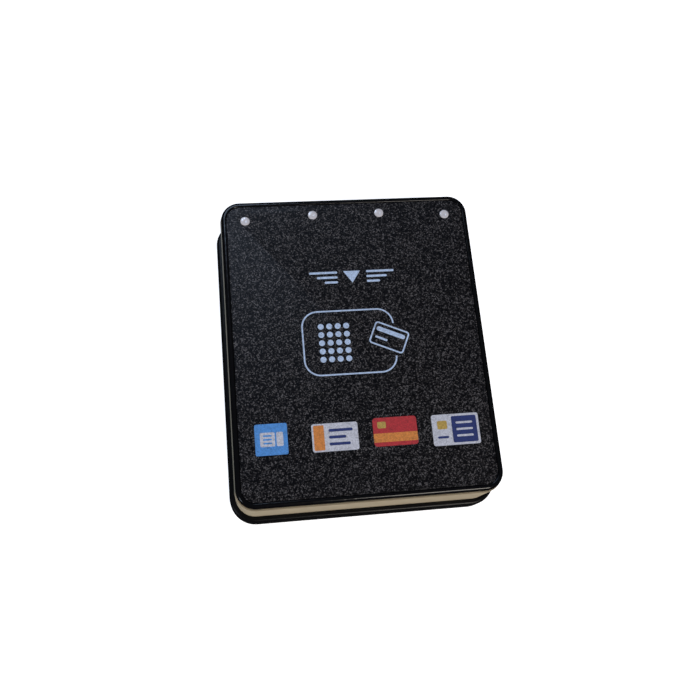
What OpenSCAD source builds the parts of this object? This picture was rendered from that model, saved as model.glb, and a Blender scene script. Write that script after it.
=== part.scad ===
// Contactless card reader module for a ticket vending machine.
// It lies on its back: +Z points out of the reading face, +Y towards the row of lamps.
// The origin is the middle of the flat rear face.

/* [Front] */
// Width of the front bezel
face_w = 68; // [60:0.5:82]
// Height of the front bezel
face_h = 82.5; // [74:0.5:100]
// Corner radius of the front bezel
face_r = 5; // [4:0.1:6.5]
// Width of the raised rim around the overlay
rim_w = 1.4; // [1:0.1:2]
// How far the rim stands above the overlay
rim_rise = 0.2; // [0.1:0.05:0.4]
// Depth of the bezel's side below the overlay
bezel_side = 2.5; // [2.3:0.1:3.5]
// Thickness of the bezel's plate behind the overlay
bezel_plate_t = 1.6; // [1.2:0.1:1.8]
// Thickness of the textured overlay sheet
overlay_t = 0.25; // [0.15:0.05:0.4]
// Thickness of the film that glues the overlay down
glue_t = 0.1; // [0.05:0.05:0.15]

/* [Shell] */
// Depth of the whole module, from the rear face to the rim
total_d = 22; // [21:0.5:28]
// Height of the rear housing, up to its ledge
housing_h = 6; // [5.8:0.1:7.4]
// How far the rear housing stands out past the bezel
housing_over = 1.9; // [1.6:0.1:3]
// Corner radius of the rear housing
housing_r = 7; // [6.2:0.1:8.5]
// Radius of the housing's outer top edge
housing_edge = 0.9; // [0.4:0.1:1.2]
// Thickness of the housing's side wall
housing_wall = 2.4; // [1.8:0.1:2.8]
// Thickness of the housing's floor
floor_t = 2; // [1.6:0.1:2.4]
// How far the pale frame stands out past the bezel
mid_over = 0.3; // [0.2:0.1:0.8]
// Wall of the pale frame
mid_wall = 2; // [1.8:0.1:2.4]

/* [Lamps] */
// Diameter of a light pipe's shaft
pipe_d = 2.5; // [1.6:0.1:3]
// Sideways place of the outer light pipes
lamp_outer_x = 27.6; // [26.5:0.1:28.2]
// Sideways place of the inner light pipes
lamp_inner_x = 9.2; // [8.4:0.1:10.5]
// Distance of the outer light pipes from the top edge
lamp_outer_drop = 5.6; // [5.2:0.1:6.2]
// Distance of the inner light pipes from the top edge
lamp_inner_drop = 4.5; // [4.4:0.1:5.6]

/* [Fastening] */
// Sideways spacing of the rear mounting inserts
mount_x = 42; // [36:1:43]
// Up and down spacing of the rear mounting inserts
mount_y = 60; // [52:1:62]
// Thread bore of a mounting insert
insert_bore = 2.5; // [2.4:0.1:3]
// Outer diameter of a mounting insert
insert_d = 4.2; // [4:0.1:4.6]
// Length of a mounting insert
insert_l = 4; // [3:0.5:4]
// Up and down spacing of the case screws
case_y = 56; // [48:1:58]
// Shaft diameter of a case screw
case_screw_d = 2.5; // [2:0.1:2.5]
// Length of a case screw under its head
case_screw_l = 12; // [10:1:12]

/* [Electronics] */
// Thickness of the main board
main_t = 1.6; // [1:0.2:1.6]
// Room under the main board
standoff_h = 3; // [2.9:0.1:3.2]
// Thickness of the antenna board
antenna_t = 1; // [0.8:0.1:1.2]
// Number of turns of the antenna coil
coil_turns = 4; // [2:1:5]
// Width of the coil's track
coil_track = 0.9; // [0.5:0.1:1]
// Distance between two turns of the coil
coil_pitch = 1.6; // [1.4:0.1:1.8]
// Thickness of the ferrite sheet
ferrite_t = 0.3; // [0.1:0.1:0.4]
// Pins in each row of the host connector
host_pins = 6; // [4:1:7]
// Width of the flat cable between the boards
flex_w = 11; // [8:0.5:12]
// Travel of a tamper switch's plunger
plunger_travel = 0.25; // [0.2:0.05:0.3]

/* [Hidden] */
$fn = 64;

// clearances
seat_gap = 0.1;         // around a piece that drops into a pocket
run_gap = 0.05;         // around a piece that slides or turns
board_gap = 0.3;        // around a board in its case
tiny = 0.01;            // extra depth of a cutter past a face

// heights, from the rear face
overlay_z = total_d - rim_rise;
plate_top_z = overlay_z - overlay_t - glue_t;
plate_z = plate_top_z - bezel_plate_t;
skirt_z = overlay_z - bezel_side;
main_z = floor_t + standoff_h;
main_top_z = main_z + main_t;
lip_h = 1.4;                                // how far the bezel's lip reaches below its skirt
lip_t = 1.1;
lip_u = mid_wall - mid_over + seat_gap;     // distance of the lip from the bezel's outside
rim_inner = 0.35;                           // radius of the rim's inner top edge
plate_u = lip_u + lip_t / 2;                // inset of the bezel's plate, inside the section round it
rim_outer = min(0.9, rim_w - rim_inner - 0.1);   // radius of the rim's outer top edge
antenna_top_z = skirt_z - lip_h;
antenna_z = antenna_top_z - antenna_t;
ferrite_z = antenna_z - ferrite_t;

// the pale frame
mid_w = face_w + 2 * mid_over;
mid_h = face_h + 2 * mid_over;
mid_r = face_r + mid_over;
ledge_w = 1.7;                              // shelf that carries the antenna board
ledge_t = 1.4;
spigot_t = 1.2;                             // lip that drops into the rear housing
spigot_h = 0.9;
spigot_u = mid_wall + ledge_w - spigot_t;   // distance of the lip from the frame's outside
base_t = 1.2;

// the rear housing
housing_w = face_w + 2 * housing_over;
housing_l = face_h + 2 * housing_over;
spigot_gap = seat_gap;
head_u = housing_over - mid_over + spigot_u - spigot_gap;   // width of the housing's thick top rim
head_t = 1.8;
foot_chamfer = 0.35;
floor_u = housing_wall / 2;                 // inset of the housing's floor, inside the wall round it

// seals
seal_w = 0.7;
seal_h = 0.6;
seal_u = 0.9;                               // distance of a seal from the pale frame's outside

// bosses and screws
post_d = 5.4;
case_x = mid_w - 2 * (mid_wall + ledge_w) - post_d - 2 * board_gap;
pilot_d = case_screw_d * 0.84;
post_top_z = housing_h + 0.3;               // where a housing post meets a bezel post
head_sink = 0.3;
head_ratio = 1.9;                           // head's diameter over its thread's
head_rise = 0.6;                            // head's height over its thread's diameter
head_d = case_screw_d * head_ratio;
head_h = case_screw_d * head_rise;
cross_depth = 0.8;
head_gap = 0.4;                             // what a head's recess is wider by
shaft_gap = 0.3;                            // what a clearance hole is wider by
boss_wall = 1.2;
boss_d = insert_d + 2 * boss_wall;
boss_gap = 0.2;
standoff_x = 24;
standoff_y = 69;
standoff_d = 5;
board_screw_d = 2;
board_screw_l = 4;
board_pilot_d = board_screw_d * 0.84;
pilot_spare = 0.4;                          // depth of a pilot hole past its screw
pilot_roof = 1;                             // solid end of a bezel post above its pilot hole

// lamps, left to right
lamps = [
    [-lamp_outer_x, face_h / 2 - lamp_outer_drop],
    [-lamp_inner_x, face_h / 2 - lamp_inner_drop],
    [lamp_inner_x, face_h / 2 - lamp_inner_drop],
    [lamp_outer_x, face_h / 2 - lamp_outer_drop]];
pipe_dome = 0.15;
pipe_collar = 0.35;
pipe_collar_h = 0.5;
lamp_size = [3, 1.4, 0.9];
lamp_dome_h = 0.2;

// boards
main_w = mid_w - 2 * (mid_wall + ledge_w + board_gap);
main_l = mid_h - 2 * (mid_wall + ledge_w + board_gap);
antenna_w = mid_w - 2 * (mid_wall + seat_gap);
antenna_l = mid_h - 2 * (mid_wall + seat_gap);
board_r = mid_r - mid_wall - seat_gap;
post_hole = post_d + 2 * board_gap;

// antenna
coil_edge = 0.4;                            // bare board between the coil and a notch
coil_w = case_x - post_hole - 2 * coil_edge;
coil_top = 31.4;                            // height of its top above the middle of the face
coil_bottom = face_h / 2 - 5;
coil_t = 0.1;
ferrite_edge = 0.8;                         // how far the sheet stays inside the coil's ends
ferrite_side = 0.5;                         // how far it stands out past the coil's sides
ferrite_r = 1.5;

// tamper switches
switch_w = 4.5;
switch_h = 3.5;
switch_x = case_x / 2 + 0.5;
plunger_d = 2;
plunger_l = 3.3;
plunger_z = main_top_z + switch_h - 1.8;    // foot of a plunger, inside its switch
post_thin = 2.4;

// flat cable and its sockets
socket_y = 31;
socket_d = 4.4;
socket_base = 1.1;
socket_h = 2.1;
socket_w = flex_w + 3;                      // the cable, two ears and the walls beside the slot
flex_t = 0.2;
flex_level = 1.3;                           // height of the cable in a socket, above the board
flex_in = 2.2;                              // how far the cable reaches into a socket
flex_run = 4;                               // straight run before the cable bends
lock_y = 3.4;                               // hinge line, from the socket's mouth
lock_z = 1.7;                               // hinge line, above the board
lock_r = 0.5;
lock_pin_r = 0.3;
lock_l = 2.1;
lock_t = 0.6;
ear_t = 0.8;

// host connector
host_y = -24;
host_pitch = 2;
host_wall = 1;
host_room = 0.8;                            // space around the pins, past their pitch
host_w = host_pins * host_pitch + host_room + 2 * host_wall;
host_l = 2 * host_pitch + host_room + 2 * host_wall;
host_mouth_z = 0.2;
host_floor_t = 0.8;
host_pin = 0.5;
host_hole = 0.7;                            // hole in the board for a pin
host_pin_sink = 1;                          // how far a pin's tip lies inside the mouth
host_tail = 0.8;                            // how far a pin stands out above the board
host_key_w = 4;
host_key_h = 2.6;

// what else stands on the main board
shield_at = [-9, 8];
shield_size = [26, 22, 2.2];
shield_t = 0.3;
shield_rim = 1.5;                           // width of the frame's flat top rim
lid_skirt = 1.2;
lid_hole_d = 1.4;
lid_hole_pitch = 4.5;
cell_at = [-12, -15];
cell_d = 12.5;
cell_t = 2;
cell_lift = 0.4;
holder_wall = 1.5;
holder_l = 5;
buzzer_at = [-14, -10];
buzzer_w = 9;
buzzer_h = 2.5;
buzzer_hole_d = 1.6;
sound_hole_d = 1.2;
reader_at = [-3, 1];                        // these three are places inside the shield
crystal_at = [7, 5];
filter_at = [5, -4];
crystal_size = [5, 3.2, 1.1];
filter_size = [2.2, 3.2, 1.5];
filter_step = 2.4;                          // half the distance between the two
chip_foot = 0.1;                            // height of the solder pad under a chip
chip_inset = 0.7;
reader_w = 6;
reader_t = 0.85;
processor_w = 12;
processor_t = 1.2;
memory_w = 5;
memory_t = 0.9;
processor_at = [14.5, 9];
memory_at = [10, -12];
inductor_at = [18, -12];
inductor_size = [5, 5, 2.6];
power_at = [9, -18.5];
power_size = [1.8, 3.2, 1.6];
power_pitch = 3.4;
tuning_at = [-18, 35];
tuning_size = [1.2, 2, 0.9];
tuning_pitch = 2.4;
label_at = [0, 13];
label_size = [36, 18];
label_t = 0.12;
label_r = 1;
label_recess = 0.2;

module rounded(w, l, r) {
    square([w - 2 * r, l], center = true);
    square([w, l - 2 * r], center = true);
    for (x = [-1, 1], y = [-1, 1]) translate([x * (w / 2 - r), y * (l / 2 - r)]) circle(r);
}

module plate(w, l, r, z, t) {
    translate([0, 0, z]) linear_extrude(t) rounded(w, l, r);
}

// A frame with rounded corners. Its child is the cross-section, where X runs inwards from the
// outside and Y is the height.
module edge_ring(w, l, r) {
    for (side = [[0, w, l], [90, l, w], [180, w, l], [270, l, w]])
        rotate(side[0]) translate([side[1] / 2, side[2] / 2 - r, 0])
            rotate([90, 0, 0]) linear_extrude(side[2] - 2 * r) mirror([1, 0]) children();
    for (corner = [[0, 1, 1], [90, -1, 1], [180, -1, -1], [270, 1, -1]])
        translate([corner[1] * (w / 2 - r), corner[2] * (l / 2 - r), 0])
            rotate(corner[0]) rotate_extrude(angle = 90) translate([r, 0]) mirror([1, 0]) children();
}

module four(x, y) {
    for (i = [-1, 1], j = [-1, 1]) translate([i * x / 2, j * y / 2, 0]) children();
}

module rod(d, z, l) {
    translate([0, 0, z]) cylinder(d = d, h = l);
}

module block(size, z) {
    translate([-size[0] / 2, -size[1] / 2, z]) cube(size);
}

// Opens a hole for each case screw's post out to the board's edge.
module post_notches(z, t) {
    four(case_x, case_y) rod(post_hole, z - tiny, t + 2 * tiny);
    four(case_x + post_hole, case_y) block([post_hole, post_hole, t + 2 * tiny], z - tiny);
}

module bezel_section() {
    translate([0, skirt_z]) square([rim_w, total_d - rim_outer - skirt_z]);
    translate([rim_outer, skirt_z]) square([rim_w - rim_outer - rim_inner, total_d - skirt_z]);
    translate([rim_outer, skirt_z]) square([rim_w - rim_outer, total_d - rim_inner - skirt_z]);
    intersection() {
        translate([rim_outer, total_d - rim_outer]) circle(rim_outer);
        translate([0, skirt_z]) square([rim_outer + tiny, total_d - skirt_z]);
    }
    translate([rim_w - rim_inner, total_d - rim_inner]) circle(rim_inner);
    translate([0, skirt_z]) square([lip_u + lip_t, plate_top_z - skirt_z]);
    translate([lip_u, antenna_top_z]) square([lip_t, plate_z + tiny - antenna_top_z]);
}

module front_bezel() {
    color("#151518") difference() {
        union() {
            edge_ring(face_w, face_h, face_r) bezel_section();
            plate(face_w - 2 * plate_u, face_h - 2 * plate_u, face_r - plate_u, plate_z, bezel_plate_t);
            four(case_x, case_y) rod(post_d, post_top_z, plate_z + tiny - post_top_z);
            for (i = [-1, 1]) translate([i * switch_x, 0, 0])
                rod(post_thin, plunger_z + plunger_l, plate_z + tiny - plunger_z - plunger_l);
        }
        for (p = lamps) translate(p) {
            rod(pipe_d + 2 * run_gap, plate_z - tiny, bezel_plate_t + 2 * tiny);
            // keeps the lip clear of the pipe's collar
            rod(pipe_d + 2 * (pipe_collar + seat_gap), antenna_top_z - tiny, plate_z - antenna_top_z + tiny);
        }
        four(case_x, case_y) rod(pilot_d, post_top_z - tiny, plate_z - post_top_z - pilot_roof);
    }
}

module lamp_holes(d, z, t) {
    for (p = lamps) translate(p) rod(d, z - tiny, t + 2 * tiny);
}

module front_overlay() {
    inset = rim_w + seat_gap;
    color("#26262b") difference() {
        plate(face_w - 2 * inset, face_h - 2 * inset, face_r - inset, plate_top_z + glue_t, overlay_t);
        lamp_holes(pipe_d + 2 * seat_gap, plate_top_z + glue_t, overlay_t);
    }
}

module overlay_adhesive() {
    inset = rim_w + 5 * seat_gap;
    color("#d8d2b8") difference() {
        plate(face_w - 2 * inset, face_h - 2 * inset, face_r - inset, plate_top_z, glue_t);
        lamp_holes(pipe_d + 6 * seat_gap, plate_top_z, glue_t);
    }
}

module seal_section(z) {
    translate([seal_u - mid_over, z]) square([seal_w, seal_h]);
}

module front_seal() {
    color("#3a3a3c") edge_ring(face_w, face_h, face_r) seal_section(skirt_z - seal_h);
}

module rear_seal() {
    color("#3a3a3c") edge_ring(face_w, face_h, face_r) seal_section(housing_h - seal_h);
}

module mid_section() {
    difference() {
        union() {
            translate([0, housing_h]) square([mid_wall, skirt_z - housing_h]);
            translate([0, housing_h]) square([mid_wall + ledge_w, base_t]);
            translate([spigot_u, housing_h - spigot_h]) square([spigot_t, spigot_h + base_t]);
            translate([0, antenna_z - ledge_t]) square([mid_wall + ledge_w, ledge_t]);
        }
        translate([seal_u - run_gap, skirt_z - seal_h]) square([seal_w + 2 * run_gap, seal_h + tiny]);
    }
}

module mid_frame() {
    color("#ded6c4") edge_ring(mid_w, mid_h, mid_r) mid_section();
}

module housing_section() {
    e = housing_edge;
    groove_u = housing_over - mid_over + seal_u - run_gap;
    difference() {
        union() {
            square([housing_wall, housing_h - e]);
            translate([e, 0]) square([housing_wall - e, housing_h]);
            translate([e, housing_h - e]) circle(e);
            translate([e, housing_h - head_t]) square([head_u - e, head_t]);
        }
        polygon([[-tiny, -tiny], [foot_chamfer, -tiny], [-tiny, foot_chamfer]]);
        translate([groove_u, housing_h - seal_h]) square([seal_w + 2 * run_gap, seal_h + tiny]);
    }
}

module rear_housing() {
    color("#1b1b1e") difference() {
        union() {
            edge_ring(housing_w, housing_l, housing_r) housing_section();
            plate(housing_w - 2 * floor_u, housing_l - 2 * floor_u, housing_r - floor_u, 0, floor_t);
            four(case_x, case_y) rod(post_d, floor_t - tiny, post_top_z - floor_t + tiny);
            four(mount_x, mount_y) rod(boss_d, floor_t - tiny, main_z - floor_t - boss_gap + tiny);
            four(standoff_x, standoff_y) rod(standoff_d, floor_t - tiny, standoff_h + tiny);
        }
        four(case_x, case_y) {
            rod(case_screw_d + shaft_gap, -tiny, post_top_z + 2 * tiny);
            rod(head_d + head_gap, -tiny, head_h + head_sink + tiny);
        }
        four(mount_x, mount_y) rod(insert_d, -tiny, insert_l + tiny);
        four(standoff_x, standoff_y)
            rod(board_pilot_d, main_top_z - board_screw_l - pilot_spare, board_screw_l);
        translate([0, host_y, 0])
            block([host_w + 4 * seat_gap, host_l + 4 * seat_gap, floor_t + 2 * tiny], -tiny);
        translate(label_at)
            block([label_size[0] + 4 * seat_gap, label_size[1] + 4 * seat_gap, label_recess + tiny], -tiny);
        translate(buzzer_at) {
            rod(sound_hole_d, -tiny, floor_t + 2 * tiny);
            for (a = [0:60:300]) rotate(a) translate([2 * sound_hole_d, 0, 0])
                rod(sound_hole_d, -tiny, floor_t + 2 * tiny);
        }
    }
}

module mounting_inserts() {
    color("#c9a227") four(mount_x, mount_y) difference() {
        rod(insert_d, 0, insert_l);
        rod(insert_bore, -tiny, insert_l + 2 * tiny);
    }
}

module screw(d, l, recess) {
    difference() {
        union() {
            rod(d * head_ratio, -d * head_rise, d * head_rise);
            rod(d, -tiny, l + tiny);
        }
        for (a = [0, 90]) rotate(a) block([d, d / 4, recess + tiny], -d * head_rise - tiny);
    }
}

module case_screws() {
    color("#8d9095") four(case_x, case_y) translate([0, 0, head_h + head_sink])
        screw(pilot_d, case_screw_l, cross_depth);
}

module rear_label() {
    color("#c8cace") translate(label_at)
        plate(label_size[0], label_size[1], label_r, label_recess - label_t, label_t);
}

module light_pipe(i) {
    color("#dfe3ea") translate(lamps[i]) {
        rod(pipe_d, plate_z, overlay_z - plate_z);
        intersection() {
            rod(pipe_d, overlay_z - tiny, 1);
            dome_r = (pow(pipe_d / 2, 2) + pow(pipe_dome, 2)) / (2 * pipe_dome);
            translate([0, 0, overlay_z + pipe_dome - dome_r]) sphere(dome_r, $fn = 96);
        }
        rod(pipe_d + 2 * pipe_collar, plate_z - pipe_collar_h, pipe_collar_h);
    }
}

module lamp(i) {
    color("#f2f0d8") translate(lamps[i]) {
        block(lamp_size, antenna_top_z);
        rod(lamp_size[1] - 0.2, antenna_top_z + lamp_size[2] - tiny, lamp_dome_h);
    }
}

module antenna_board() {
    color("#1f5c3a") difference() {
        plate(antenna_w, antenna_l, board_r, antenna_z, antenna_t);
        post_notches(antenna_z, antenna_t);
        for (i = [-1, 1]) translate([i * switch_x, 0, 0])
            rod(post_thin + 2 * board_gap, antenna_z - tiny, antenna_t + 2 * tiny);
    }
}

// Corner k of the coil's spiral. It starts low on the left and goes round clockwise, and each
// turn lies one pitch further in.
function coil_corner(k, inset) = let (
        turn = floor(k / 4), side = k % 4, step = turn * coil_pitch + inset,
        next = side == 0 && k > 0 ? step - coil_pitch : step)
    [(side < 2 ? -1 : 1) * (coil_w / 2 - step),
     side == 1 || side == 2 ? coil_top - step : -coil_bottom + next];

module antenna_coil() {
    last = 4 * coil_turns - 1;
    color("#b8733a") translate([0, 0, antenna_top_z]) linear_extrude(coil_t) polygon(concat(
        [for (k = [0:last]) coil_corner(k, 0)],
        [for (k = [last:-1:0]) coil_corner(k, coil_track)]));
}

module ferrite_sheet() {
    color("#4a4a50") translate([0, (coil_top - coil_bottom) / 2, 0])
        plate(coil_w + 2 * ferrite_side, coil_top + coil_bottom - 2 * ferrite_edge, ferrite_r,
            ferrite_z, ferrite_t);
}

module tuning_capacitors() {
    color("#b79a72") for (i = [0:4])
        translate([tuning_at[0] + tuning_pitch * i, tuning_at[1], 0])
            block(tuning_size, antenna_z - tuning_size[2]);
}

module main_board() {
    color("#1f5c3a") difference() {
        plate(main_w, main_l, board_r, main_z, main_t);
        post_notches(main_z, main_t);
        four(standoff_x, standoff_y) rod(board_screw_d + shaft_gap, main_z - tiny, main_t + 2 * tiny);
        host_field() block([host_hole, host_hole, main_t + 2 * tiny], main_z - tiny);
    }
}

module board_screws() {
    color("#b9bcc2") four(standoff_x, standoff_y) translate([0, 0, main_top_z]) mirror([0, 0, 1])
        screw(board_pilot_d, board_screw_l, cross_depth);
}

module shield_frame() {
    color("#b4b7bb") translate(shield_at) difference() {
        block(shield_size, main_top_z);
        block([shield_size[0] - 2 * shield_t, shield_size[1] - 2 * shield_t,
            shield_size[2] - shield_t + tiny], main_top_z - tiny);
        block([shield_size[0] - 2 * shield_rim, shield_size[1] - 2 * shield_rim,
            shield_size[2] + tiny], main_top_z);
    }
}

module shield_lid() {
    grow = 2 * (shield_t + run_gap);
    top_z = main_top_z + shield_size[2];
    color("#c4c7cb") translate(shield_at) difference() {
        block([shield_size[0] + grow, shield_size[1] + grow, lid_skirt + shield_t], top_z - lid_skirt);
        block([shield_size[0] + 2 * run_gap, shield_size[1] + 2 * run_gap, lid_skirt + tiny],
            top_z - lid_skirt - tiny);
        for (i = [-2:2], j = [-1:1]) translate([i * lid_hole_pitch, j * lid_hole_pitch, 0])
            rod(lid_hole_d, top_z - tiny, shield_t + 2 * tiny);
    }
}

module chip(at, w, t) {
    pad = w - 2 * chip_inset;
    color("#2a2a2d") translate(at) {
        block([w, w, t], main_top_z + chip_foot);
        block([pad, pad, chip_foot + tiny], main_top_z);
    }
}

module reader_chip() {
    chip(shield_at + reader_at, reader_w, reader_t);
}

module clock_crystal() {
    color("#cfd2d6") translate(shield_at + crystal_at) block(crystal_size, main_top_z);
}

module filter_inductors() {
    color("#3b3b40") for (i = [-1, 1])
        translate(shield_at + [filter_at[0] + filter_step * i, filter_at[1]])
            block(filter_size, main_top_z);
}

module processor_chip() {
    chip(processor_at, processor_w, processor_t);
}

module memory_chip() {
    chip(memory_at, memory_w, memory_t);
}

module power_inductor() {
    color("#46464b") translate(inductor_at) block(inductor_size, main_top_z);
}

module power_capacitors() {
    color("#c9a66b") for (i = [0:3])
        translate([power_at[0] + power_pitch * i, power_at[1], 0]) block(power_size, main_top_z);
}

module cell_holder() {
    color("#b4b7bb") translate(cell_at) difference() {
        block([cell_d + 2 * holder_wall, holder_l, cell_t + 2 * cell_lift], main_top_z);
        rod(cell_d + 2 * run_gap, main_top_z + cell_lift, cell_t);
    }
}

module backup_cell() {
    color("#d2d4d8") translate(cell_at) rod(cell_d, main_top_z + cell_lift, cell_t);
}

module buzzer() {
    color("#242427") translate(buzzer_at) difference() {
        block([buzzer_w, buzzer_w, buzzer_h], main_z - buzzer_h);
        rod(buzzer_hole_d, main_z - buzzer_h - tiny, buzzer_h / 2);
    }
}

module host_field() {
    for (i = [0:host_pins - 1], j = [-0.5, 0.5])
        translate([(i - (host_pins - 1) / 2) * host_pitch, host_y + j * host_pitch, 0]) children();
}

module host_connector() {
    color("#e6e2d6") difference() {
        translate([0, host_y, 0]) block([host_w, host_l, main_z - host_mouth_z], host_mouth_z);
        translate([0, host_y, 0])
            block([host_w - 2 * host_wall, host_l - 2 * host_wall,
                main_z - host_floor_t - host_mouth_z + tiny], host_mouth_z - tiny);
        translate([0, host_y - host_l / 2, 0])
            block([host_key_w, 2 * host_wall + tiny, host_key_h], host_mouth_z - tiny);
        host_field() block([host_pin, host_pin, 2 * host_floor_t], main_z - host_floor_t - tiny);
    }
}

module host_pins_block() {
    low = host_mouth_z + host_pin_sink;
    color("#c9a227") host_field() block([host_pin, host_pin, main_top_z + host_tail - low], low);
}

module tamper_switch(side) {
    color("#303034") translate([side * switch_x, 0, 0]) difference() {
        block([switch_w, switch_w, switch_h], main_top_z);
        rod(plunger_d + 2 * run_gap, plunger_z - plunger_travel - 3 * run_gap, switch_h);
    }
}

module tamper_plunger(side) {
    color("#c24a2c") translate([side * switch_x, 0, 0]) rod(plunger_d, plunger_z, plunger_l);
}

// A flat cable socket on a board's top face at height 0, its mouth towards -Y.
module flex_socket() {
    difference() {
        union() {
            translate([-socket_w / 2, 0, 0]) cube([socket_w, socket_d, socket_base]);
            translate([-socket_w / 2, 0, 0]) cube([socket_w, lock_y - lock_r - 3 * run_gap, socket_h]);
            for (i = [-1, 1]) translate([i * (socket_w - ear_t) / 2 - ear_t / 2, 0, 0])
                cube([ear_t, socket_d, lock_z + lock_r + run_gap]);
        }
        translate([-flex_w / 2 - seat_gap, -tiny, flex_level - flex_t / 2 - run_gap])
            cube([flex_w + 2 * seat_gap, flex_in + seat_gap, flex_t + 2 * run_gap]);
        translate([-socket_w, lock_y, lock_z]) rotate([0, 90, 0])
            cylinder(r = lock_pin_r + run_gap, h = 2 * socket_w);
    }
}

module flex_lock() {
    inside = socket_w - 2 * (ear_t + seat_gap);
    translate([0, lock_y, lock_z]) {
        translate([-inside / 2, 0, 0]) rotate([0, 90, 0]) cylinder(r = lock_r, h = inside);
        translate([-inside / 2, 0, -lock_t / 2]) cube([inside, lock_l, lock_t]);
        translate([-socket_w / 2 + seat_gap, 0, 0]) rotate([0, 90, 0])
            cylinder(r = lock_pin_r, h = socket_w - 2 * seat_gap);
    }
}

module on_main() {
    translate([0, socket_y, main_top_z]) children();
}

module under_antenna() {
    translate([0, socket_y, antenna_z]) mirror([0, 0, 1]) children();
}

module main_flex_socket() {
    color("#e8e4da") on_main() flex_socket();
}

module main_flex_lock() {
    color("#5a3a22") on_main() flex_lock();
}

module antenna_flex_socket() {
    color("#e8e4da") under_antenna() flex_socket();
}

module antenna_flex_lock() {
    color("#5a3a22") under_antenna() flex_lock();
}

module flex_cable() {
    low = main_top_z + flex_level;
    high = antenna_z - flex_level;
    bend_y = socket_y - flex_run;
    bend_r = (high - low) / 2;
    color("#d9dde2") translate([flex_w / 2, 0, 0]) rotate([0, -90, 0]) linear_extrude(flex_w) {
        for (z = [low, high]) translate([z - flex_t / 2, bend_y]) square([flex_t, flex_run + flex_in]);
        translate([(low + high) / 2, bend_y]) difference() {
            circle(bend_r + flex_t / 2);
            circle(bend_r - flex_t / 2);
            translate([-2 * bend_r, 0]) square([4 * bend_r, 2 * bend_r]);
        }
    }
}

front_bezel();
front_overlay();
overlay_adhesive();
front_seal();
mid_frame();
rear_seal();
rear_housing();
mounting_inserts();
case_screws();
rear_label();
light_pipe(0);  // light_pipe_1
light_pipe(1);  // light_pipe_2
light_pipe(2);  // light_pipe_3
light_pipe(3);  // light_pipe_4
lamp(0);  // lamp_1
lamp(1);  // lamp_2
lamp(2);  // lamp_3
lamp(3);  // lamp_4
antenna_board();
antenna_coil();
ferrite_sheet();
tuning_capacitors();
main_board();
board_screws();
shield_frame();
shield_lid();
reader_chip();
clock_crystal();
filter_inductors();
processor_chip();
memory_chip();
power_inductor();
power_capacitors();
backup_cell();
cell_holder();
buzzer();
host_connector();
host_pins_block();
tamper_switch(-1);  // tamper_switch_left
tamper_switch(1);  // tamper_switch_right
tamper_plunger(-1);  // tamper_plunger_left
tamper_plunger(1);  // tamper_plunger_right
main_flex_socket();
main_flex_lock();
antenna_flex_socket();
antenna_flex_lock();
flex_cable();
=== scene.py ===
"""Contactless card reader module of a ticket vending machine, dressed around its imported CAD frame.

It is laid out as an add-on: sizes and colours are properties, each group of pieces has an
operator, and main() runs them in order. Everything is in metres in the frame's own axes:
+Z out of the reading face, +Y to the lamps.
"""
import math

import bmesh
import bpy
from mathutils import Matrix, Vector


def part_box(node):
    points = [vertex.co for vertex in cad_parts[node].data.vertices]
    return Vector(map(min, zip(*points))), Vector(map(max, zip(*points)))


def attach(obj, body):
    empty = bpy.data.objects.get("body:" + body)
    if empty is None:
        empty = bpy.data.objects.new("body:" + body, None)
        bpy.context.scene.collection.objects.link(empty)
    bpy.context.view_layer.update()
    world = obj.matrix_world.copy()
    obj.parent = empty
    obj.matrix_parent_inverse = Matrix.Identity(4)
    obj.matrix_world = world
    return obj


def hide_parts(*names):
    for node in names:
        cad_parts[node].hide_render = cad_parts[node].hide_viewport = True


bl_info = {
    "name": "Card Reader Module",
    "version": (1, 0, 0),
    "blender": (4, 5, 0),
    "location": "View3D > Sidebar > Card Reader",
    "description": "Builds the finishes, prints and small parts of a contactless card reader module",
    "category": "Object",
}

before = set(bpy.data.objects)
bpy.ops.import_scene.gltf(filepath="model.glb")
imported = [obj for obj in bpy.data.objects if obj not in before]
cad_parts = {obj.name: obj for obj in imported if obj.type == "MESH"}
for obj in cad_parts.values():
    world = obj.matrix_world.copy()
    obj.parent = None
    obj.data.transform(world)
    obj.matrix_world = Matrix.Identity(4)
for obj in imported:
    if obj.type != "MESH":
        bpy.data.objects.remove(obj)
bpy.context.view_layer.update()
ROOT = "module"
MM = 0.001
FACE_LOW, FACE_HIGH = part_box("front_overlay")
BEZEL_LOW, BEZEL_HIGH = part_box("front_bezel")
HOUSING_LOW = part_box("rear_housing")[0]
FACE_Z = FACE_HIGH.z
ARC_STEPS = 14
SHARP = 32  # degrees between two faces, past which their edge stays sharp
MERGE = 1e-7  # metres within which two points become one
INKS = ("white", "paper", "blue", "orange", "red", "navy", "gold")


# ---------------------------------------------------------------- shader maths

class Value:
    """A shader socket. Sums, products and powers of it add their Math nodes."""

    def __init__(self, finish, socket):
        self.finish = finish
        self.socket = socket

    def math(self, operation, *others):
        values = dict(enumerate((self, *others)))
        return self.finish.node("ShaderNodeMath", {"operation": operation}, values)

    def reflected(self, operation, other):
        return self.finish.node("ShaderNodeMath", {"operation": operation}, {0: other, 1: self})

    def __add__(self, other):
        return self.math("ADD", other)

    __radd__ = __add__

    def __sub__(self, other):
        return self.math("SUBTRACT", other)

    def __rsub__(self, other):
        return self.reflected("SUBTRACT", other)

    def __mul__(self, other):
        return self.math("MULTIPLY", other)

    __rmul__ = __mul__

    def __truediv__(self, other):
        return self.math("DIVIDE", other)

    def __rtruediv__(self, other):
        return self.reflected("DIVIDE", other)

    def __pow__(self, other):
        return self.math("POWER", other)

    def limited(self):
        return self.finish.node("ShaderNodeClamp", {}, {"Value": self})


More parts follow.
